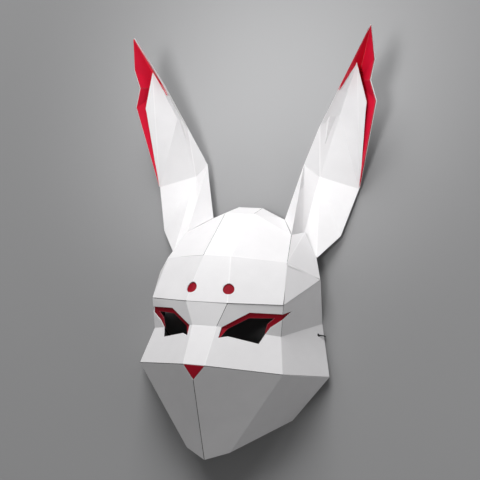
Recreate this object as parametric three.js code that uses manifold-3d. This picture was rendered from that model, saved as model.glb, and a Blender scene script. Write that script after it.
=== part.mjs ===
// A folded card rabbit mask that lies on its back, face up.
// White card carries the face and the ears, and red card lines the ears and backs the eyes,
// the brow dots and the nose. Millimetres, +Z up. Left and right are the viewer's, facing the mask.
import * as THREE from 'three';
import { mergeVertices } from 'three/addons/utils/BufferGeometryUtils.js';
import Module from 'manifold-3d';

const wasm = await Module();
wasm.setup();

// Driving sizes
const half_width = 95;        // middle of the face to a temple
const face_height = 188;      // temple line to chin
const face_depth = 108;       // temple line to the nose
const ear_reach = 139.6;      // middle of the face to an ear tip
const ear_height = 270.4;     // temple line to the ear tips
const ear_depth = 52;         // how far the ears' backs lie behind the temple line
const card = 1.2;             // white card
const red_card = 0.7;         // red card
const gap = 0.3;              // clearance between two pieces
const eye_height = 31;        // an eye opening's top edge to its bottom edge
const trim_bite = 8;          // how far the red eye trim reaches past the outer fold
const dot_diameter = 12;
const dot_backing = 17;       // side of the red card behind a dot
const cord_diameter = 1.4;    // elastic, its ends knotted behind the cheeks
const hole_diameter = 3.2;    // for the cord
const hole_inset = 9;         // cord hole to the rim
const knot_diameter = 4.6;

// The face's corners, in shares of half_width, face_height and face_depth from the temple line
const face_corners = {
  crown_top:      { across: 0.150, down: -0.416, out: -0.290 },
  crown_front:    { across: 0.180, down: -0.369, out: 0.022 },
  ear_root_top:   { across: 0.451, down: -0.344, out: -0.240 },
  ear_root_front: { across: 0.647, down: -0.249, out: 0.035 },
  ear_root_side:  { across: 0.730, down: -0.271, out: -0.160 },
  ear_root_low:   { across: 0.901, down: -0.121, out: -0.120 },
  brow_fold_in:   { across: 0.166, down: -0.108, out: 0.565 },
  brow_fold_out:  { across: 0.724, down: -0.087, out: 0.322 },
  temple:         { across: 1.000, down: 0.000, out: 0.000 },
  brow_end:       { across: 0.780, down: 0.147, out: 0.525 },
  brow_in:        { across: 0.241, down: 0.149, out: 0.761 },
  bridge_low:     { across: 0.139, down: 0.275, out: 0.781 },
  socket_out:     { across: 0.755, down: 0.318, out: 0.485 },
  side_rim:       { across: 0.994, down: 0.252, out: -0.146 },
  muzzle:         { across: 0.841, down: 0.511, out: 0.619 },
  nose_corner:    { across: 0.122, down: 0.477, out: 0.984 },
  nose_tip:       { across: 0.000, down: 0.555, out: 0.984 },
  cheek_rim:      { across: 1.161, down: 0.539, out: 0.037 },
  jaw_rim:        { across: 0.774, down: 0.796, out: 0.082 },
  chin_corner:    { across: 0.255, down: 0.961, out: 0.548 },
  chin:           { across: 0.000, down: 1.006, out: 0.648 },
};

// The ear's corners, in shares of ear_reach, ear_height and ear_depth from the temple line
const ear_corners = {
  tip:         { across: 1.000, up: 1.000, out: 0.115 },
  elbow:       { across: 0.422, up: 0.475, out: -0.720 },
  bend:        { across: 0.569, up: 0.623, out: -0.446 },
  fold:        { across: 0.545, up: 0.423, out: -0.847 },
  fold_side:   { across: 0.878, up: 0.376, out: -0.821 },
  fold_root:   { across: 0.469, up: 0.161, out: -0.456 },
  apex:        { across: 0.708, up: 0.674, out: -0.645 },
  front_top:   { across: 0.876, up: 0.859, out: -0.176 },
  front_side:  { across: 0.949, up: 0.709, out: -0.311 },
  edge_high:   { across: 1.029, up: 0.869, out: -0.077 },
  edge_notch:  { across: 0.990, up: 0.793, out: -0.192 },
  edge_low:    { across: 1.034, up: 0.713, out: -0.288 },
  side_low:    { across: 0.765, up: 0.178, out: -0.577 },
  ridge:       { across: 0.530, up: 0.444, out: -1.000 },
  ridge_high:  { across: 0.845, up: 0.821, out: -0.692 },
  back_low:    { across: 0.487, up: 0.163, out: -0.635 },
};
const mouth_share = 0.345;    // where the front panel meets the inner edge, from bend to tip

// Facets of each card blank, anticlockwise from outside, for the right side. ~ is the other side's corner.
const forehead_middle = [
  ['~crown_top', '~crown_front', 'crown_front', 'crown_top'],
  ['~crown_front', '~brow_fold_in', 'brow_fold_in', 'crown_front'],
  ['~brow_fold_in', '~brow_in', 'brow_in', 'brow_fold_in'],
];
const forehead_side = [
  ['crown_front', 'brow_fold_in', 'brow_fold_out', 'ear_root_front'],
  ['crown_front', 'ear_root_front', 'ear_root_top'],
  ['crown_top', 'crown_front', 'ear_root_top'],
  ['brow_fold_in', 'brow_in', 'brow_end', 'brow_fold_out'],
  ['brow_fold_out', 'brow_end', 'temple'],
  ['brow_fold_out', 'temple', 'ear_root_low', 'ear_root_side', 'ear_root_front'],
];
const face_middle = [
  ['~brow_in', '~bridge_low', 'bridge_low', 'brow_in'],
  ['~bridge_low', '~nose_corner', 'nose_corner', 'bridge_low'],
];
const face_side = [
  ['brow_in', 'bridge_low', 'socket_out', 'brow_end'],
  ['brow_end', 'socket_out', 'side_rim', 'temple'],
  ['bridge_low', 'nose_corner', 'muzzle', 'socket_out'],
  ['socket_out', 'muzzle', 'cheek_rim', 'side_rim'],
];
const jaw_side = [
  ['nose_corner', 'nose_tip', 'chin', 'chin_corner', 'muzzle'],
  ['muzzle', 'chin_corner', 'jaw_rim', 'cheek_rim'],
];
const nose_facet = [['~nose_corner', 'nose_tip', 'nose_corner']];
const ear_front = [
  ['ear_root_top', 'ear_root_front', 'elbow'],
  ['elbow', 'ear_root_front', 'fold_root', 'fold'],
  ['fold', 'fold_root', 'ear_root_low', 'side_low', 'fold_side'],
  ['apex', 'fold', 'fold_side'],
  ['bend', 'elbow', 'fold', 'apex'],
  ['mouth', 'bend', 'apex'],
  ['front_top', 'mouth', 'apex'],
  ['front_top', 'apex', 'fold_side', 'front_side'],
];
const ear_lined = [
  ['tip', 'ridge_high', 'mouth'],
  ['mouth', 'ridge_high', 'bend'],
  ['ridge_high', 'ridge', 'elbow', 'bend'],
  ['tip', 'edge_high', 'ridge_high'],
  ['ridge_high', 'edge_high', 'edge_notch'],
  ['ridge_high', 'edge_notch', 'edge_low'],
  ['ridge_high', 'edge_low', 'fold_side', 'ridge'],
];
const ear_back_low = [
  ['ridge', 'fold_side', 'side_low', 'back_low'],
  ['back_low', 'side_low', 'ear_root_low'],
  ['elbow', 'ridge', 'back_low', 'ear_root_top'],
];

// The eye opening, in shares of eye_width and eye_height from the eye's inner corner
const eye_outline = [
  { facet: 'socket', across: 0.000, up: 0.000 },
  { facet: 'ledge', across: -0.011, up: -0.335 },
  { facet: 'ledge', across: 0.127, up: -0.277 },
  { facet: 'ledge', across: 0.629, up: -0.484 },
  { facet: 'socket', across: 0.696, up: -0.177 },
  { facet: 'socket', across: 0.780, up: 0.055 },
  { facet: 'fold', along: 0.457 },
  { facet: 'temple_side', across: 1.070, up: 0.600 },
  { facet: 'fold', along: 0.290 },
  { facet: 'socket', across: 0.445, up: 0.510 },
];
// The smaller opening of the red trim, which stays open below
const trim_outline = [
  { facet: 'ledge', across: 0.029, up: -0.294 },
  { facet: 'ledge', across: 0.029, up: -0.700 },
  { facet: 'ledge', across: 0.640, up: -0.700 },
  { facet: 'socket', across: 0.694, up: -0.177 },
  { facet: 'socket', across: 0.705, up: -0.061 },
  { facet: 'socket', across: 0.734, up: 0.161 },
  { facet: 'socket', across: 0.845, up: 0.358 },
  { facet: 'socket', across: 0.441, up: 0.335 },
  { facet: 'socket', across: 0.098, up: -0.048 },
];
const eye_corner_share = 0.08;  // the eye's inner corner on the fold from bridge to socket_out
const dot_share = 0.70;         // a dot's middle on the fold from forehead to brow
const cord_hole_share = 0.245;   // a cord hole's place on the rim from side_rim to cheek_rim

// The cord's route over the surface that the mask lies on: out of the right cheek, round the rim,
// loosely across beneath the mask and up into the left cheek
const cord_route = [
  [93.2, -89.2, 9.9],
  [94.3, -88.9, 9.9],
  [95.25, -88.7, 9.55],
  [96.1, -88.6, 8.9],
  [97.6, -88.5, 7.5],
  [99.1, -88.5, 6],
  [99.85, -88.6, 4.65],
  [99.85, -88.7, 3.2],
  [99.15, -88.8, 1.9],
  [97.85, -89, 1.1],
  [96.3, -89.3, 0.9],
  [92, -91.6, 0.9],
  [86, -97.4, 0.9],
  [72, -102, 0.9],
  [57, -111, 0.9],
  [47, -127, 0.9],
  [34, -142, 0.9],
  [16, -145, 0.9],
  [3, -133, 0.9],
  [-5, -116, 0.9],
  [-19, -104, 0.9],
  [-36, -108, 0.9],
  [-47, -123, 0.9],
  [-60, -133, 0.9],
  [-71, -121, 0.9],
  [-78, -107, 0.9],
  [-86, -97.4, 0.9],
  [-92, -91.6, 0.9],
  [-96.3, -89.3, 0.9],
  [-97.85, -89, 1.1],
  [-99.15, -88.8, 1.9],
  [-99.85, -88.7, 3.2],
  [-99.85, -88.6, 4.65],
  [-99.1, -88.5, 6],
  [-97.6, -88.5, 7.5],
  [-96.1, -88.6, 8.9],
  [-95.25, -88.7, 9.55],
  [-94.3, -88.9, 9.9],
  [-93.2, -89.2, 9.9],
];

// Corners by name, with left and right copies of each that is off the middle
const corners = {};

function add_corner(name, x, y, z) {
  if (x === 0) {
    corners[name] = new THREE.Vector3(x, y, z);
    return;
  }
  corners[`${name}_right`] = new THREE.Vector3(x, y, z);
  corners[`${name}_left`] = new THREE.Vector3(-x, y, z);
}

function right(name) {
  return (corners[`${name}_right`] ?? corners[name]).clone();
}

function along(first, second, share) {
  return right(first).lerp(right(second), share);
}

function plane_of(names) {
  const [a, b, c] = names.map(right);
  return new THREE.Plane().setFromCoplanarPoints(a, b, c);
}

// The depth at which a place across and up the face meets a facet's plane
function on_facet(names, x, y) {
  const { normal, constant } = plane_of(names);
  return new THREE.Vector3(x, y, -(normal.x * x + normal.y * y + constant) / normal.z);
}

for (const [name, { across, down, out }] of Object.entries(face_corners)) {
  add_corner(name, across * half_width, -down * face_height, out * face_depth);
}
for (const [name, { across, up, out }] of Object.entries(ear_corners)) {
  add_corner(name, across * ear_reach, up * ear_height, out * ear_depth);
}
const mouth = along('bend', 'tip', mouth_share);
add_corner('mouth', mouth.x, mouth.y, mouth.z);

// Flat card: these corners are moved in depth onto the plane of their facet's other corners
const flattened = {
  nose_tip: ['nose_corner', 'chin_corner', 'muzzle'],
  chin: ['nose_corner', 'chin_corner', 'muzzle'],
  ear_root_front: ['crown_front', 'brow_fold_in', 'brow_fold_out'],
  ear_root_side: ['brow_fold_out', 'temple', 'ear_root_low'],
};
for (const [name, facet] of Object.entries(flattened)) {
  const { x, y } = right(name);
  add_corner(name, x, y, on_facet(facet, x, y).z);
}

// A facet's corner names for one side
function on_side(facet, side) {
  const other = side === 'right' ? 'left' : 'right';
  const named = facet.map((name) => {
    const mirrored = name.startsWith('~');
    const plain = mirrored ? name.slice(1) : name;
    return plain in corners ? plain : `${plain}_${mirrored ? other : side}`;
  });
  return side === 'right' ? named : named.reverse();
}

function sided(facets, side) {
  return facets.map((facet) => on_side(facet, side));
}

function facet_normal(facet) {
  const normal = new THREE.Vector3();
  facet.forEach((name, index) => {
    normal.add(corners[name].clone().cross(corners[facet[(index + 1) % facet.length]]));
  });
  return normal.normalize();
}

// Solves for the shortest step whose share along each given direction is the wanted one
function step_along(wanted) {
  const damping = 0.002;
  const m = new THREE.Matrix3().set(damping, 0, 0, 0, damping, 0, 0, 0, damping);
  const sum = new THREE.Vector3();
  for (const { direction: d, amount } of wanted) {
    const e = m.elements;
    [d.x, d.y, d.z].forEach((a, row) => {
      [d.x, d.y, d.z].forEach((b, column) => {
        e[row + 3 * column] += a * b;
      });
    });
    sum.addScaledVector(d, amount);
  }
  return sum.applyMatrix3(m.invert());
}

// For each corner, the inward step that thickens all facets round it by one unit
function inward_steps(facets) {
  const wanted = {};
  for (const facet of facets) {
    const direction = facet_normal(facet);
    for (const name of facet) (wanted[name] ??= []).push({ direction, amount: -1 });
  }
  return Object.fromEntries(Object.entries(wanted).map(([name, list]) => [name, step_along(list)]));
}

function edges_of(facet) {
  return facet.map((name, index) => [name, facet[(index + 1) % facet.length]]);
}

// For each corner of a blank, the step back from its edges that are named in a set
function edge_steps(facets, stepped_edges, amount) {
  const wanted = {};
  for (const facet of facets) {
    const direction = facet_normal(facet);
    for (const name of facet) (wanted[name] ??= []).push({ direction, amount: 0 });
    for (const [a, b] of edges_of(facet)) {
      if (!stepped_edges.has(`${a}>${b}`)) continue;
      const back = direction.clone().cross(corners[b].clone().sub(corners[a])).normalize();
      wanted[a].push({ direction: back, amount });
      (wanted[b] ??= []).push({ direction: back, amount });
    }
  }
  return Object.fromEntries(Object.entries(wanted).map(([name, list]) => [name, step_along(list)]));
}

// The edges of a blank that it shares with other blanks
function seams_between(others) {
  return new Set(others.flatMap(edges_of).map(([a, b]) => `${b}>${a}`));
}

// The edges of a blank that nothing meets
function free_edges(facets) {
  const all = facets.flatMap(edges_of).map(([a, b]) => `${a}>${b}`);
  return new Set(all.filter((edge) => !all.includes(edge.split('>').reverse().join('>'))));
}

function solid_from(positions, triangles) {
  return new wasm.Manifold(new wasm.Mesh({
    numProp: 3,
    vertProperties: new Float32Array(positions.flatMap((p) => [p.x, p.y, p.z])),
    triVerts: new Uint32Array(triangles.flat()),
  }));
}

// Flat triangles of a facet, as corner numbers within it
function facet_triangles(facet) {
  const normal = facet_normal(facet);
  const turn = new THREE.Quaternion().setFromUnitVectors(normal, new THREE.Vector3(0, 0, 1));
  const outline = facet.map((name) => {
    const p = corners[name].clone().applyQuaternion(turn);
    return new THREE.Vector2(p.x, p.y);
  });
  return THREE.ShapeUtils.triangulateShape(outline, []);
}

// A folded card blank as a closed solid, from one depth below its outer skin to another
function card_blank(facets, steps, from, to, seams = {}) {
  const names = [...new Set(facets.flat())];
  const place = (name, depth) => {
    const p = corners[name].clone().addScaledVector(steps[name], depth);
    return seams[name] ? p.add(seams[name]) : p;
  };
  const positions = [...names.map((name) => place(name, from)), ...names.map((name) => place(name, to))];
  const inner = names.length;
  const triangles = [];
  const edge_count = new Map();
  for (const facet of facets) {
    const ids = facet.map((name) => names.indexOf(name));
    for (const [i, j, k] of facet_triangles(facet)) {
      const [a, b, c] = [ids[i], ids[j], ids[k]];
      triangles.push([a, b, c], [c + inner, b + inner, a + inner]);
      for (const [p, q] of [[a, b], [b, c], [c, a]]) edge_count.set(`${p},${q}`, [p, q]);
    }
  }
  for (const [p, q] of edge_count.values()) {
    if (edge_count.has(`${q},${p}`)) continue;
    triangles.push([q, p, p + inner], [q, p + inner, q + inner]);
  }
  return solid_from(positions, triangles);
}

// A closed three.js geometry as a solid, welded before it is turned and moved
function solid_of(geometry, turn = new THREE.Quaternion(), place = new THREE.Vector3()) {
  const bare = geometry.clone();
  bare.deleteAttribute('normal');
  bare.deleteAttribute('uv');
  const merged = mergeVertices(bare, 1e-4).applyQuaternion(turn).translate(place.x, place.y, place.z);
  return new wasm.Manifold(new wasm.Mesh({
    numProp: 3,
    vertProperties: merged.attributes.position.array,
    triVerts: new Uint32Array(merged.index.array),
  }));
}

// A prism whose outline passes through the given points, along a direction
function prism_through(points, direction, reach) {
  const turn = new THREE.Quaternion().setFromUnitVectors(new THREE.Vector3(0, 0, 1), direction);
  const back = turn.clone().invert();
  const flat = points.map((p) => p.clone().applyQuaternion(back));
  const shape = new THREE.Shape(flat.map((p) => new THREE.Vector2(p.x, p.y)));
  const middle = flat.reduce((sum, p) => sum + p.z, 0) / flat.length;
  const geometry = new THREE.ExtrudeGeometry(shape, { depth: 2 * reach, bevelEnabled: false });
  return solid_of(geometry, turn, direction.clone().multiplyScalar(middle - reach));
}

function rod_through(centre, direction, diameter, reach) {
  const sides = 24;
  const geometry = new THREE.CylinderGeometry(diameter / 2, diameter / 2, 2 * reach, sides);
  const turn = new THREE.Quaternion().setFromUnitVectors(new THREE.Vector3(0, 1, 0), direction);
  return solid_of(geometry, turn, centre);
}

function mirrored(solid) {
  return solid.mirror([1, 0, 0]);
}

// The largest piece of a solid that a cut may have left in several
function main_piece(solid) {
  return solid.decompose().sort((a, b) => b.volume() - a.volume())[0];
}

const sides = ['left', 'right'];
const both = (facets) => sides.flatMap((side) => sided(facets, side));
const forehead_facets = [...sided(forehead_middle, 'right'), ...both(forehead_side)];
const face_facets = [...sided(face_middle, 'right'), ...both(face_side)];
const jaw_facets = { left: sided(jaw_side, 'left'), right: sided(jaw_side, 'right') };
const nose_facets = sided(nose_facet, 'right');
const lower_facets = [...jaw_facets.left, ...jaw_facets.right, ...nose_facets];
const head_facets = [...forehead_facets, ...face_facets, ...lower_facets];
const head_steps = inward_steps(head_facets);

// A blank of the head, stepped back from its neighbours' seams
function head_blank(facets, thickness) {
  const others = head_facets.filter((facet) => !facets.includes(facet));
  return card_blank(facets, head_steps, 0, thickness, edge_steps(facets, seams_between(others), gap / 2));
}

// Places on the eye's facets
const facets_by_name = {
  socket: ['brow_in', 'bridge_low', 'socket_out'],
  ledge: ['bridge_low', 'nose_corner', 'muzzle'],
  temple_side: ['brow_end', 'socket_out', 'side_rim'],
};
const eye_corner = along('bridge_low', 'socket_out', eye_corner_share);
const eye_width = right('brow_end').x - eye_corner.x;

function eye_place({ facet, across, up, along: share }) {
  if (facet === 'fold') return along('brow_end', 'socket_out', share);
  return on_facet(facets_by_name[facet], eye_corner.x + across * eye_width, eye_corner.y + up * eye_height);
}

const eye_axis = new THREE.Vector3(0.6, 0.1, 0.8).normalize();
const cut_reach = 30;
const eye_cut = prism_through(eye_outline.map(eye_place), eye_axis, cut_reach);
const trim_cut = prism_through(trim_outline.map(eye_place), eye_axis, cut_reach);

// Brow dots: round holes on the fold, each backed by a folded scrap of red card
const dot_centre = along('brow_fold_in', 'brow_in', dot_share);
const dot_axis = facet_normal(on_side(forehead_middle[2], 'right'))
  .add(facet_normal(on_side(forehead_side[3], 'right'))).normalize();
const dot_cut = rod_through(dot_centre, dot_axis, dot_diameter, dot_diameter);

const fold_direction = right('brow_in').sub(right('brow_fold_in')).normalize();
const dot_middle_side = fold_direction.clone().cross(facet_normal(on_side(forehead_middle[2], 'right')));
const dot_outer_side = facet_normal(on_side(forehead_side[3], 'right')).cross(fold_direction);
const half_backing = dot_backing / 2;
for (const [name, way] of Object.entries({ high: -half_backing, low: half_backing })) {
  const fold = dot_centre.clone().addScaledVector(fold_direction, way);
  const inner = fold.clone().addScaledVector(dot_middle_side, half_backing);
  const outer = fold.clone().addScaledVector(dot_outer_side, half_backing);
  add_corner(`dot_fold_${name}`, fold.x, fold.y, fold.z);
  add_corner(`dot_inner_${name}`, inner.x, inner.y, inner.z);
  add_corner(`dot_outer_${name}`, outer.x, outer.y, outer.z);
}
const dot_facets = [
  ['dot_inner_high', 'dot_inner_low', 'dot_fold_low', 'dot_fold_high'],
  ['dot_fold_high', 'dot_fold_low', 'dot_outer_low', 'dot_outer_high'],
];

// Eye trim: red card glued behind the socket, round the outer fold and down to the eye's inner tip
const trim_corners = {
  trim_top: eye_place({ facet: 'socket', across: 0.36, up: 0.68 }),
  trim_inner: along('bridge_low', 'socket_out', 0.02),
  trim_fold_in: along('bridge_low', 'socket_out', 0.20),
  trim_fold_out: along('bridge_low', 'socket_out', 0.86),
  trim_tip: eye_place({ facet: 'ledge', across: -0.06, up: -0.44 }),
  trim_tip_out: eye_place({ facet: 'ledge', across: 0.10, up: -0.38 }),
  trim_outer_high: along('brow_end', 'socket_out', 0.10),
  trim_outer_low: along('brow_end', 'socket_out', 0.72),
};
const wing_way = right('side_rim').sub(right('socket_out')).normalize();
trim_corners.trim_wing_high = trim_corners.trim_outer_high.clone().addScaledVector(wing_way, 2 * trim_bite);
trim_corners.trim_wing_low = trim_corners.trim_outer_low.clone().addScaledVector(wing_way, trim_bite);
for (const [name, p] of Object.entries(trim_corners)) add_corner(name, p.x, p.y, p.z);
const trim_facets = [
  ['trim_top', 'trim_inner', 'trim_fold_in', 'trim_fold_out', 'trim_outer_low', 'trim_outer_high'],
  ['trim_outer_high', 'trim_outer_low', 'trim_wing_low', 'trim_wing_high'],
  ['trim_inner', 'trim_tip', 'trim_tip_out', 'trim_fold_in'],
];

// Cord holes, one in each cheek near the rim
const cheek = on_side(face_side[3], 'right');
const cheek_normal = facet_normal(cheek);
const rim_way = right('cheek_rim').sub(right('side_rim')).normalize();
const hole_centre = along('side_rim', 'cheek_rim', cord_hole_share)
  .addScaledVector(rim_way.clone().cross(cheek_normal).normalize(), hole_inset);
const hole_cut = rod_through(hole_centre, cheek_normal, hole_diameter, 2 * hole_diameter);

// Red card lies behind white card with a clearance
const lining_from = card + gap;
const lining_to = lining_from + red_card;

function backing(facets) {
  const blank = sided(facets, 'right');
  return card_blank(blank, inward_steps(blank), lining_from, lining_to);
}

function forehead() {
  return head_blank(forehead_facets, card).subtract(dot_cut).subtract(mirrored(dot_cut));
}

function face() {
  let solid = head_blank(face_facets, card);
  for (const cut of [eye_cut, hole_cut]) solid = solid.subtract(cut).subtract(mirrored(cut));
  return solid;
}

function eye_trim() {
  return main_piece(backing(trim_facets).subtract(trim_cut));
}

// The head's wall with its clearance, which an ear is cut back from
const rim_room = edge_steps(head_facets, free_edges(head_facets), -gap);
const head_room = card_blank(head_facets, head_steps, -gap, card + gap, rim_room);

const ear_facets = sided([...ear_front, ...ear_lined, ...ear_back_low], 'right');
const ear_steps = inward_steps(ear_facets);

function ear() {
  return main_piece(card_blank(ear_facets, ear_steps, 0, card).subtract(head_room));
}

// The red lining lies along the inside of the ear's back, cut back from the ear's walls and front
function ear_lining() {
  const room = card + 0.8 * gap;
  const walls = [card, room].map((depth) => card_blank(ear_facets, ear_steps, 0, depth));
  const front = sided(ear_front, 'right');
  const over_front = card_blank(front, inward_steps(front), -lining_to, room);
  return main_piece([...walls, over_front].reduce((rest, wall) => rest.subtract(wall), backing(ear_lined)));
}

// A knot behind the cheek, on the cord's way through its hole
function cord_knot() {
  const turns = 12;
  const knot = new THREE.SphereGeometry(knot_diameter / 2, turns, turns / 2);
  const centre = hole_centre.clone().addScaledVector(cheek_normal, -(card + gap + knot_diameter / 2));
  return solid_of(knot, new THREE.Quaternion(), centre);
}

// The cord's spline, stepped evenly from one route point to the next so that its tight bends are round
class CordCurve extends THREE.CatmullRomCurve3 {
  getPointAt(share) {
    return this.getPoint(share);
  }

  getTangentAt(share) {
    return this.getTangent(share);
  }
}

function elastic_cord() {
  const route = new CordCurve(cord_route.map(([x, y, z]) => new THREE.Vector3(x, y, z)));
  const sides_round = 8;
  const section = new THREE.Shape(Array.from({ length: sides_round }, (_, index) => {
    const angle = (2 * Math.PI * index) / sides_round;
    return new THREE.Vector2(Math.cos(angle), Math.sin(angle)).multiplyScalar(cord_diameter / 2);
  }));
  const steps = 3 * (cord_route.length - 1);
  return solid_of(new THREE.ExtrudeGeometry(section, { steps, bevelEnabled: false, extrudePath: route }));
}

// Plain materials
const white = { color: 0xf2f0f0, roughness: 0.6, metalness: 0 };
const red = { color: 0xb0102c, roughness: 0.65, metalness: 0 };
const black = { color: 0x101012, roughness: 0.8, metalness: 0 };

function mesh_of(name, solid, finish) {
  const { vertProperties, triVerts } = solid.getMesh();
  const geometry = new THREE.BufferGeometry();
  geometry.setAttribute('position', new THREE.BufferAttribute(vertProperties, 3));
  geometry.setIndex(new THREE.BufferAttribute(triVerts, 1));
  const mesh = new THREE.Mesh(geometry, new THREE.MeshStandardMaterial(finish));
  mesh.name = name;
  return mesh;
}

const mask = new THREE.Group();
mask.add(mesh_of('forehead', forehead(), white));
mask.add(mesh_of('face', face(), white));
mask.add(mesh_of('nose', head_blank(nose_facets, red_card), red));
// Pieces that come in pairs, modelled for the right side
const paired = {
  jaw: [head_blank(jaw_facets.right, card), white],
  ear: [ear(), white],
  ear_lining: [ear_lining(), red],
  eye_trim: [eye_trim(), red],
  brow_dot: [backing(dot_facets), red],
  cord_knot: [cord_knot(), black],
};
for (const [name, [solid, finish]] of Object.entries(paired)) {
  mask.add(mesh_of(`${name}_left`, mirrored(solid), finish));
  mask.add(mesh_of(`${name}_right`, solid, finish));
}

// On its back the mask rests on the rim's side corners and on the ridges behind the ears
const rest_low = right('side_rim');
const rest_high = right('ridge');
mask.rotation.x = Math.atan2(rest_low.z - rest_high.z, rest_high.y - rest_low.y);
mask.updateMatrixWorld(true);
const box = new THREE.Box3().setFromObject(mask, true);
mask.position.set(0, -(box.min.y + box.max.y) / 2, -box.min.z);

const part = new THREE.Group();
part.add(mask);
part.add(mesh_of('elastic_cord', elastic_cord(), black));

export default part;
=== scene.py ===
# A rabbit mask folded from white and red card, lying on its back on a pale floor.
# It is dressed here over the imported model, in metres: +Z out of the face and +Y toward the ear tips.
import math

import bmesh
import bpy
from mathutils import Matrix, Vector
from mathutils.bvhtree import BVHTree


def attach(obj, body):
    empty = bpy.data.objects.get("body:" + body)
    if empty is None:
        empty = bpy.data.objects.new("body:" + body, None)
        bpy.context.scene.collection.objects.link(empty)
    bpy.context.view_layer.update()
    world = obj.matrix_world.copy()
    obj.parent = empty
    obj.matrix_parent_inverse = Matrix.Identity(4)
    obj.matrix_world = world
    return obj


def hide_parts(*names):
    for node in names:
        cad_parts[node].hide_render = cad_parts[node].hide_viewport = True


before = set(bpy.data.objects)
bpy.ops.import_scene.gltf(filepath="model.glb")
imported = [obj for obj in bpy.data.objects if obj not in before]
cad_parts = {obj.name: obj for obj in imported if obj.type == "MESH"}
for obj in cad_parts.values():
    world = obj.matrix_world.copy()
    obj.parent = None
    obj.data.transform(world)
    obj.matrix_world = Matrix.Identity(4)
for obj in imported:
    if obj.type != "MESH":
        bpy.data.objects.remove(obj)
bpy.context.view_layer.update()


# Floor: a plain pale sheet under the mask.
# It is a stage and not part of the mask.
floor_reach = 6.0
floor_mesh = bmesh.new()
bmesh.ops.create_grid(floor_mesh, x_segments=1, y_segments=1, size=floor_reach)
floor_data = bpy.data.meshes.new("floor")
floor_mesh.to_mesh(floor_data)
floor_mesh.free()
floor = bpy.data.objects.new("floor", floor_data)
bpy.context.scene.collection.objects.link(floor)

floor_finish = bpy.data.materials.new("pale_floor")
floor_finish.use_nodes = True
floor_shader = floor_finish.node_tree.nodes["Principled BSDF"]
floor_shader.inputs["Base Color"].default_value = (0.33, 0.33, 0.335, 1.0)
floor_shader.inputs["Roughness"].default_value = 0.85
floor_data.materials.append(floor_finish)


# Light: one large soft panel beyond the ears and above, as in the photo, where the jaw stays in shade,
# a weak one from the right, and a soft round lamp high over the face that is aimed at the ears.
def aimed(lamp, place, aim):
    stand = bpy.data.objects.new(lamp.name, lamp)
    stand.location = place
    stand.rotation_euler = (Vector(aim) - Vector(place)).to_track_quat("-Z", "Y").to_euler()
    bpy.context.scene.collection.objects.link(stand)


def soft_panel(name, place, aim, width, power):
    lamp = bpy.data.lights.new(name, "AREA")
    lamp.shape = "SQUARE"
    lamp.size = width
    lamp.energy = power
    aimed(lamp, place, aim)


def soft_spot(name, place, aim, width, power, spread):
    lamp = bpy.data.lights.new(name, "SPOT")
    lamp.shadow_soft_size = width / 2
    lamp.spot_size = math.radians(spread)
    lamp.spot_blend = 1.0
    lamp.energy = power
    aimed(lamp, place, aim)


soft_panel("key_panel", place=(-0.30, 2.75, 2.45), aim=(0.0, -0.02, 0.05), width=2.4, power=124.0)
soft_panel("side_panel", place=(1.5, 0.1, 0.7), aim=(0.0, -0.05, 0.05), width=1.0, power=2.6)
soft_spot("ear_spot", place=(0.0, -0.10, 0.85), aim=(0.0, 0.205, 0.05), width=0.30, power=28.0, spread=33.0)

sky_strength = 0.16
sky = bpy.data.worlds.new("studio")
sky.use_nodes = True
sky.node_tree.nodes["Background"].inputs["Color"].default_value = (1.0, 1.0, 1.0, 1.0)
sky.node_tree.nodes["Background"].inputs["Strength"].default_value = sky_strength
bpy.context.scene.world = sky
bpy.context.scene.view_settings.view_transform = "Standard"


# Camera: the photo's own angle to the mask, turned with it as it lies down.
# It stands 0.93 m above the floor, and the lens frames the mask as the photo does.
camera_place = Vector((0.36386, -0.22637, 0.92553))
image_right = Vector((0.92997, 0.12253, -0.3466))
image_down = Vector((0.02872, -0.96416, -0.26378))
image_away = Vector((-0.3665, 0.23535, -0.90016))
camera_data = bpy.data.cameras.new("photo_view")
camera_data.lens = 67.5
camera_data.sensor_width = 36.0
camera = bpy.data.objects.new("photo_view", camera_data)
turn = Matrix((image_right, -image_down, -image_away)).transposed()
camera.matrix_world = Matrix.Translation(camera_place) @ turn.to_4x4()
bpy.context.scene.collection.objects.link(camera)
bpy.context.scene.camera = camera


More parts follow.
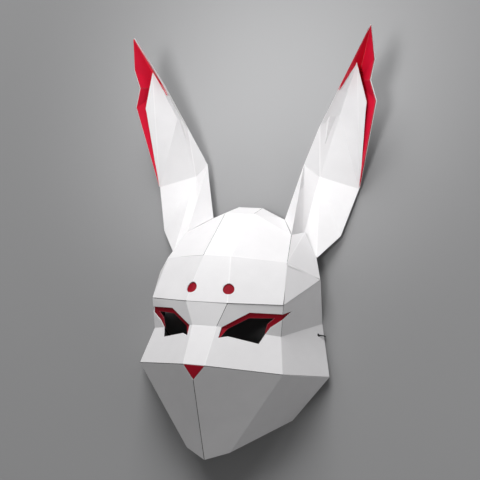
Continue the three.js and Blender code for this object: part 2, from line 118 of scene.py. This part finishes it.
# Elastic cord: braided black elastic, 1.4 mm thick, knotted behind each cheek and laid loosely under
# the mask, out through one cheek hole, round the rim and back in through the other.
cord_diameter = 0.0014
cord_route = [
    (0.0932, -0.0892, 0.0099),
    (0.0943, -0.0889, 0.0099),
    (0.09525, -0.0887, 0.00955),
    (0.0961, -0.0886, 0.0089),
    (0.0976, -0.0885, 0.0075),
    (0.0991, -0.0885, 0.006),
    (0.09985, -0.0886, 0.00465),
    (0.09985, -0.0887, 0.0032),
    (0.09915, -0.0888, 0.0019),
    (0.09785, -0.089, 0.0011),
    (0.0963, -0.0893, 0.0009),
    (0.092, -0.0916, 0.0009),
    (0.086, -0.0974, 0.0009),
    (0.072, -0.102, 0.0009),
    (0.057, -0.111, 0.0009),
    (0.047, -0.127, 0.0009),
    (0.034, -0.142, 0.0009),
    (0.016, -0.145, 0.0009),
    (0.003, -0.133, 0.0009),
    (-0.005, -0.116, 0.0009),
    (-0.019, -0.104, 0.0009),
    (-0.036, -0.108, 0.0009),
    (-0.047, -0.123, 0.0009),
    (-0.06, -0.133, 0.0009),
    (-0.071, -0.121, 0.0009),
    (-0.078, -0.107, 0.0009),
    (-0.086, -0.0974, 0.0009),
    (-0.092, -0.0916, 0.0009),
    (-0.0963, -0.0893, 0.0009),
    (-0.09785, -0.089, 0.0011),
    (-0.09915, -0.0888, 0.0019),
    (-0.09985, -0.0887, 0.0032),
    (-0.09985, -0.0886, 0.00465),
    (-0.0991, -0.0885, 0.006),
    (-0.0976, -0.0885, 0.0075),
    (-0.0961, -0.0886, 0.0089),
    (-0.09525, -0.0887, 0.00955),
    (-0.0943, -0.0889, 0.0099),
    (-0.0932, -0.0892, 0.0099),
]


def cord_curve(name, route, thickness, closed=False):
    data = bpy.data.curves.new(name, "CURVE")
    data.dimensions = "3D"
    data.bevel_depth = thickness / 2
    data.bevel_resolution = 4
    data.resolution_u = 10
    data.use_fill_caps = True
    line = data.splines.new("BEZIER")
    line.bezier_points.add(len(route) - 1)
    for point, place in zip(line.bezier_points, route):
        point.co = place
        point.handle_left_type = "AUTO"
        point.handle_right_type = "AUTO"
    line.use_cyclic_u = closed
    curve = bpy.data.objects.new(name, data)
    bpy.context.scene.collection.objects.link(curve)
    return curve


thread_scale = 2600.0
thread_relief = 0.0002


def elastic_finish():
    finish = bpy.data.materials.new("black_elastic")
    finish.use_nodes = True
    nodes = finish.node_tree.nodes
    links = finish.node_tree.links
    shader = nodes["Principled BSDF"]
    shader.inputs["Roughness"].default_value = 0.75
    shader.inputs["Sheen Weight"].default_value = 0.35
    place = nodes.new("ShaderNodeTexCoord")
    threads = nodes.new("ShaderNodeTexVoronoi")
    threads.inputs["Scale"].default_value = thread_scale
    links.new(place.outputs["Object"], threads.inputs["Vector"])
    shade = nodes.new("ShaderNodeValToRGB")
    shade.color_ramp.elements[0].color = (0.030, 0.029, 0.031, 1.0)
    shade.color_ramp.elements[1].color = (0.008, 0.008, 0.009, 1.0)
    links.new(threads.outputs["Distance"], shade.inputs["Fac"])
    links.new(shade.outputs["Color"], shader.inputs["Base Color"])
    bump = nodes.new("ShaderNodeBump")
    bump.inputs["Strength"].default_value = 0.6
    bump.inputs["Distance"].default_value = thread_relief
    links.new(threads.outputs["Distance"], bump.inputs["Height"])
    links.new(bump.outputs["Normal"], shader.inputs["Normal"])
    return finish


black_elastic = elastic_finish()
elastic_cord = cord_curve("elastic", cord_route, cord_diameter)
elastic_cord.data.materials.append(black_elastic)
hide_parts("elastic_cord")
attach(elastic_cord, "root")

# Each end is tied in a small overhand knot, wider than the hole that it pulls against.
knot_loop = 0.0005
knot_strand = 0.0013
knot_points = 24
knot_depth = 1.1
knot_middle = (0.09099, -0.08987, 0.00875)
knot_axis = (0.85, 0.26, 0.45)


def mirrored(place, mirror):
    return (mirror * place[0], place[1], place[2])


for side, mirror in (("left", -1), ("right", 1)):
    middle = Vector(mirrored(knot_middle, mirror))
    along = Vector(mirrored(knot_axis, mirror)).to_track_quat("Z", "Y")
    strand = []
    for step in range(knot_points):
        angle = math.tau * step / knot_points
        across = math.sin(angle) + 2 * math.sin(2 * angle)
        up = math.cos(angle) - 2 * math.cos(2 * angle)
        over = -knot_depth * math.sin(3 * angle)
        strand.append(middle + along @ (knot_loop * Vector((across, up, over))))
    knot = cord_curve(f"knot_{side}", strand, knot_strand, closed=True)
    knot.data.materials.append(black_elastic)
    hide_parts(f"cord_knot_{side}")
    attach(knot, "root")


# Forehead: 1.2 mm white card, matt outside and black inside, cut flat, scored and folded, from the crown's
# rim to the brow, with a round hole on each lower fold. Its folds are a little rounded and painted lighter,
# a painted highlight, and its cut edges a little worn. At its seams the blank's edges meet in a thin groove
# whose walls, like the narrow cut faces along its joins, are painted black as painted shadow.
fold_radius = 0.0006
fold_angle = math.radians(4)
cut_angle = math.radians(60)
edge_wear = 0.0002
same_point = 0.00002
smallest_edge = 0.00015
empty_edge = 0.00001
flat_angle = math.radians(0.6)
shortest_fold = 0.004
furthest_wear = 0.0009
on_the_line = 0.0006
past_the_end = 0.01
seam_width = 0.0004
seam_depth = 0.0007
wall_width = 0.0016
# Finish slots: 1 is the card's inside and also painted shadow in seams, joins and holes; 2 is the fold
# strips, painted lighter on white card as a painted highlight; 3 is the cut edges.
inside_and_seam_shade, fold_strip, cut_edge = 1, 2, 3
clouding_scale = 28.0
fibre_scale = 900.0
warp_scale = 16.0
warp_depth = 0.0012


def card_finish(name, light, dark, fibre_depth, roughness=(0.48, 0.72), shine=0.35):
    finish = bpy.data.materials.new(name)
    finish.use_nodes = True
    nodes = finish.node_tree.nodes
    links = finish.node_tree.links
    shader = nodes["Principled BSDF"]
    shader.inputs["Specular IOR Level"].default_value = shine
    place = nodes.new("ShaderNodeTexCoord")

    clouding = nodes.new("ShaderNodeTexNoise")
    clouding.inputs["Scale"].default_value = clouding_scale
    clouding.inputs["Detail"].default_value = 5.0
    clouding.inputs["Roughness"].default_value = 0.6
    links.new(place.outputs["Object"], clouding.inputs["Vector"])
    shade = nodes.new("ShaderNodeValToRGB")
    shade.color_ramp.elements[0].position = 0.32
    shade.color_ramp.elements[0].color = (*dark, 1.0)
    shade.color_ramp.elements[1].position = 0.68
    shade.color_ramp.elements[1].color = (*light, 1.0)
    links.new(clouding.outputs["Fac"], shade.inputs["Fac"])
    links.new(shade.outputs["Color"], shader.inputs["Base Color"])

    gloss = nodes.new("ShaderNodeMapRange")
    gloss.inputs["To Min"].default_value = roughness[0]
    gloss.inputs["To Max"].default_value = roughness[1]
    links.new(clouding.outputs["Fac"], gloss.inputs["Value"])
    links.new(gloss.outputs["Result"], shader.inputs["Roughness"])

    fibres = nodes.new("ShaderNodeTexNoise")
    fibres.inputs["Scale"].default_value = fibre_scale
    fibres.inputs["Detail"].default_value = 4.0
    links.new(place.outputs["Object"], fibres.inputs["Vector"])
    warp = nodes.new("ShaderNodeTexNoise")
    warp.inputs["Scale"].default_value = warp_scale
    warp.inputs["Detail"].default_value = 1.0
    links.new(place.outputs["Object"], warp.inputs["Vector"])
    warp_bump = nodes.new("ShaderNodeBump")
    warp_bump.inputs["Strength"].default_value = 0.5
    warp_bump.inputs["Distance"].default_value = warp_depth
    links.new(warp.outputs["Fac"], warp_bump.inputs["Height"])
    fibre_bump = nodes.new("ShaderNodeBump")
    fibre_bump.inputs["Strength"].default_value = 0.35
    fibre_bump.inputs["Distance"].default_value = fibre_depth
    links.new(fibres.outputs["Fac"], fibre_bump.inputs["Height"])
    links.new(warp_bump.outputs["Normal"], fibre_bump.inputs["Normal"])
    links.new(fibre_bump.outputs["Normal"], shader.inputs["Normal"])
    return finish


def bevelled(blank, edges, width, segments):
    return bmesh.ops.bevel(
        blank,
        geom=edges,
        offset=width,
        segments=segments,
        profile=0.5,
        affect="EDGES",
        material=-1,
        clamp_overlap=False,
    )


def lies_between(corner, start, end, apart=on_the_line):
    start, end = Vector(start), Vector(end)
    reach = (corner - start).dot(end - start) / (end - start).length_squared
    is_beside = -past_the_end < reach < 1 + past_the_end
    return is_beside and (start.lerp(end, reach) - corner).length < apart


def lies_on_a_bend(edge, bends):
    return any(all(lies_between(corner.co, *bend) for corner in edge.verts) for bend in bends)


def is_narrow(strip):
    longest = max(edge.calc_length() for edge in strip.edges)
    return strip.calc_area() < wall_width * longest


# A seam is cut as a thin groove whose walls are painted black, a painted shadow in the gap.
def open_seam(blank, start, end):
    edges = [
        edge
        for edge in blank.edges
        if edge.is_manifold and all(lies_between(corner.co, start, end) for corner in edge.verts)
    ]
    inward = -sum((panel.normal for edge in edges for panel in edge.link_faces), Vector()).normalized()
    groove = bevelled(blank, edges, seam_width / 2, 2)
    for wall in groove["faces"]:
        wall.material_index = inside_and_seam_shade
    for corner in groove["verts"]:
        if corner.is_valid and lies_between(corner.co, start, end):
            corner.co += seam_depth * inward


def folded_card(name, node, finishes, is_inside=None, seams=(), joins=(), bends=()):
    blank = bmesh.new()
    blank.from_mesh(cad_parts[node].data)
    bmesh.ops.remove_doubles(blank, verts=blank.verts, dist=same_point)
    bmesh.ops.dissolve_limit(blank, angle_limit=flat_angle, verts=blank.verts, edges=blank.edges)
    bmesh.ops.remove_doubles(blank, verts=blank.verts, dist=smallest_edge)
    blank.normal_update()
    unworn = BVHTree.FromBMesh(blank)
    if is_inside:
        for panel in blank.faces:
            if is_inside(panel):
                panel.material_index = inside_and_seam_shade
    for start, end in seams:
        open_seam(blank, start, end)
    blank.normal_update()
    folds = [
        edge
        for edge in blank.edges
        if edge.is_manifold
        and fold_angle < edge.calc_face_angle() < cut_angle
        and edge.is_convex
        and edge.calc_length() > shortest_fold
        and not any(panel.material_index == inside_and_seam_shade for panel in edge.link_faces)
        and not lies_on_a_bend(edge, bends)
    ]
    # The fold strips take the fold finish; on white card it is lighter, a painted highlight along the
    # rounded fold.
    for strip in bevelled(blank, folds, fold_radius, 2)["faces"]:
        strip.material_index = fold_strip
    blank.normal_update()
    sharp = [edge for edge in blank.edges if edge.is_manifold and edge.calc_face_angle() > cut_angle]
    for strip in bevelled(blank, sharp, edge_wear, 1)["faces"]:
        strip.material_index = cut_edge
    # Narrow cut faces along the joins and holes are painted black, a painted shadow in the join.
    for strip in blank.faces:
        if any(lies_between(strip.calc_center_median(), *join) for join in joins) and is_narrow(strip):
            strip.material_index = inside_and_seam_shade
    for corner in blank.verts:
        surface, _, _, apart = unworn.find_nearest(corner.co)
        if apart > furthest_wear:
            corner.co = surface
    bmesh.ops.dissolve_degenerate(blank, dist=empty_edge, edges=blank.edges)
    for edge in blank.edges:
        edge.smooth = lies_on_a_bend(edge, bends)
    for panel in blank.faces:
        panel.smooth = True
    data = bpy.data.meshes.new(name)
    blank.to_mesh(data)
    blank.free()
    for finish in finishes:
        data.materials.append(finish)
    piece = bpy.data.objects.new(name, data)
    bpy.context.scene.collection.objects.link(piece)
    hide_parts(node)
    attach(piece, "root")


white_card = card_finish("white_card", (0.87, 0.86, 0.87), (0.83, 0.82, 0.83), 0.00006)
# Besides the card's black inside, this finish paints the seam grooves and joins black as painted shadow.
black_card_and_seam_shade = card_finish("black_inside_and_seam_shade", (0.020, 0.020, 0.022), (0.012, 0.012, 0.013), 0.00006)
# The fold finish is lighter than the card: a painted highlight where the rounded fold catches light.
white_fold_highlight = card_finish("white_fold_highlight", (0.95, 0.94, 0.95), (0.90, 0.89, 0.90), 0.00009, (0.45, 0.60))
white_cut = card_finish("white_cut_edge", (0.82, 0.81, 0.82), (0.74, 0.73, 0.74), 0.00010, (0.75, 0.92))
white_finishes = [white_card, black_card_and_seam_shade, white_fold_highlight, white_cut]
head_middle = Vector((0.0, -0.07, -0.02))
facing_share = 0.55


def faces_the_head(panel):
    inward = head_middle - panel.calc_center_median()
    return panel.normal.dot(inward) > facing_share * inward.length


def on_both_sides(start, end, apart):
    return [(mirrored(start, mirror), mirrored(end, mirror), apart) for mirror in (-1, 1)]


crown_front = (0.0171, 0.0354, 0.0429)
crown_top = (0.0142, 0.0512, 0.0118)
brow_fold_in = (0.0158, -0.0249, 0.0898)
brow_fold_out = (0.0688, -0.0232, 0.0633)
ear_root_front = (0.0615, 0.0132, 0.0388)
brow_end = (0.0760, -0.0707, 0.0746)
brow_in = (0.0229, -0.0766, 0.1003)
forehead_seams = [
    (mirrored(crown_front, -1), mirrored(brow_fold_in, -1)),
    (ear_root_front, brow_fold_out),
    (crown_front, crown_top),
]
brow_joins = on_both_sides(brow_end, brow_in, wall_width)
folded_card(
    "forehead_card", "forehead", white_finishes, faces_the_head, forehead_seams, brow_joins
)


# Face: one white card blank with the bridge of the nose between the two eye sockets, the cheeks and the
# ledge over the jaw. It meets the forehead along the brow, glued from behind.
bridge_low = (0.0132, -0.1002, 0.0974)
socket_top = (0.0741, -0.0709, 0.0755)
socket_out = (0.0717, -0.1014, 0.0644)
muzzle_corner = (0.0799, -0.1399, 0.0709)
nose_corner = (0.0116, -0.1420, 0.1108)
cord_hole_back = (0.0915, -0.0894, 0.0085)
cord_hole_front = (0.0945, -0.0890, 0.0112)
cord_hole_reach = 0.0022
# The two socket folds are opened as seams with black walls, a painted shadow; the brow, the ledge and the
# cord holes have their narrow cut faces painted black the same way.
socket_folds = [(brow_in, bridge_low), (socket_top, socket_out)]
ledge_joins = on_both_sides(muzzle_corner, nose_corner, wall_width)
cord_holes = on_both_sides(cord_hole_back, cord_hole_front, cord_hole_reach)
folded_card(
    "face_card",
    "face",
    white_finishes,
    faces_the_head,
    socket_folds,
    brow_joins + ledge_joins + cord_holes,
)


# Jaw: two mirrored white blanks, each folded once, of the same card.
# They are glued together down the middle and under the ledge.
muzzle_middle = (0.0, -0.142, 0.1120)
chin = (0.0, -0.2315, 0.0543)
# Down the middle and under the ledge the narrow cut faces are painted black, a painted shadow in the join.
chin_join = (muzzle_middle, chin, wall_width)
for side in ("left", "right"):
    folded_card(
        f"jaw_card_{side}",
        f"jaw_{side}",
        white_finishes,
        faces_the_head,
        joins=[*ledge_joins, chin_join],
    )


# Ears: white card, folded into a hollow point that opens to the side and the front, with bright red card
# glued inside. The lower and upper facets bend softly where they aren't scored. Both ears stand in the
# corners between the crown and the temples.
ear_red = card_finish("ear_red_card", (0.78, 0.009, 0.045), (0.70, 0.007, 0.037), 0.00004, shine=0.2)
ear_red_cut = card_finish("ear_red_cut_edge", (0.72, 0.16, 0.18), (0.60, 0.08, 0.10), 0.00008, (0.75, 0.92))
ear_red_fold = card_finish("ear_red_fold", (0.68, 0.030, 0.058), (0.58, 0.012, 0.036), 0.00006, (0.6, 0.8))
lining_reach = 0.0014
fold_root = (0.0655, 0.0157, 0.0119)
elbow = (0.0589, 0.1016, 0.0165)
knee = (0.0761, 0.0892, 0.0070)
knee_side = (0.1226, 0.0765, 0.0057)
apex = (0.0988, 0.1534, 0.0316)
wall_fold = (0.0794, 0.1377, 0.0388)
mouth_fold = (0.1002, 0.1699, 0.0561)
ear_bends = [(fold_root, elbow), (knee, apex), (knee_side, apex), (wall_fold, apex), (mouth_fold, apex)]


def lined_by(node):
    lining = bmesh.new()
    lining.from_mesh(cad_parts[node].data)
    lining_walls = BVHTree.FromBMesh(lining)
    lining.free()

    def is_lined(panel):
        start = panel.calc_center_median() + same_point * panel.normal
        return lining_walls.ray_cast(start, panel.normal, lining_reach)[0] is not None

    return is_lined


for side, mirror in (("left", -1), ("right", 1)):
    folded_card(
        f"ear_card_{side}",
        f"ear_{side}",
        [white_card, ear_red, white_fold_highlight, white_cut],
        lined_by(f"ear_lining_{side}"),
        bends=[(mirrored(start, mirror), mirrored(end, mirror)) for start, end in ear_bends],
    )
    folded_card(
        f"ear_lining_card_{side}",
        f"ear_lining_{side}",
        [ear_red, ear_red, ear_red_fold, ear_red_cut],
    )


# Nose, eye trims and brow dots: scraps of a deeper red card. The nose is a small triangle over the muzzle,
# in the notch between the ledge and the jaws; the others are glued behind the eye openings and the
# brow's holes.
red_card = card_finish("red_card", (0.36, 0.004, 0.018), (0.29, 0.003, 0.014), 0.00004, shine=0.15)
red_cut = card_finish("red_cut_edge", (0.62, 0.22, 0.24), (0.50, 0.12, 0.14), 0.00008, (0.75, 0.92))
red_finishes = [red_card, red_card, red_card, red_cut]
folded_card("nose_card", "nose", red_finishes)
for side in ("left", "right"):
    folded_card(f"eye_trim_card_{side}", f"eye_trim_{side}", red_finishes)
    folded_card(f"brow_dot_card_{side}", f"brow_dot_{side}", red_finishes)
